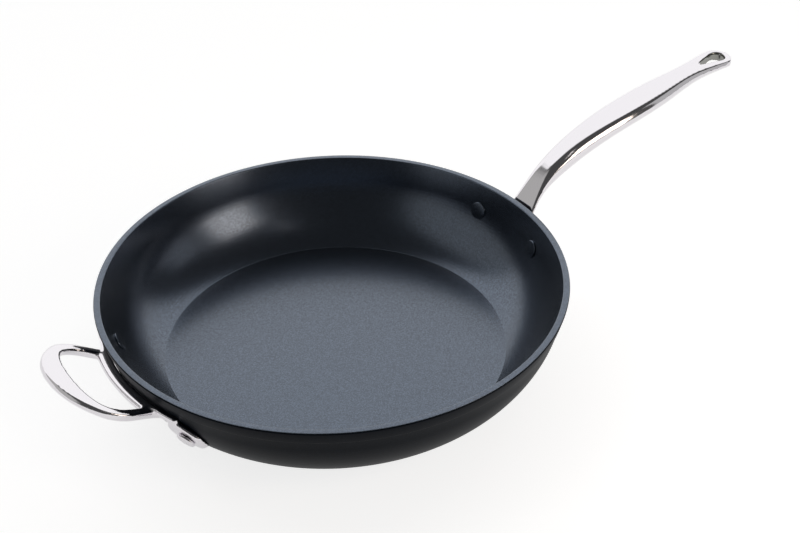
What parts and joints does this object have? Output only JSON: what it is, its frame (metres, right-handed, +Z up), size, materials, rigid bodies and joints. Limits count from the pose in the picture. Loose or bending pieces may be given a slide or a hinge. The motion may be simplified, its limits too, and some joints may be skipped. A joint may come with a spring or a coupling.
{
  "type": "frying pan",
  "caption": "Large frying pan with a dark outside, a blue-grey non-stick inside, a riveted polished steel long handle and a looped helper handle.",
  "frame": {"origin": "centre of the flat face that the pan stands on, on the pan's own axis", "axes": "+Z up along the pan's axis, +X towards the tip of the long handle, the helper handle on -X"},
  "size_m": [0.5328, 0.3022, 0.117],
  "materials": {
    "dark_body": "satin dark slate coat on aluminium",
    "ceramic_coating": "semi-gloss blue-grey with a fine fleck",
    "polished_steel": "mirror polished",
    "base_steel": "turned, fine circular lines",
    "coated_rivets": "polished outside, coated inside like the pan"
  },
  "bodies": {
    "root": {"pan_body": "dark_body", "nonstick_coating": "ceramic_coating", "base_disc": "base_steel", "main_handle": "polished_steel", "helper_handle": "polished_steel", "main_rivet_left": "coated_rivets", "main_rivet_right": "coated_rivets", "helper_rivet_left": "coated_rivets", "helper_rivet_right": "coated_rivets"}
  },
  "joints": []
}
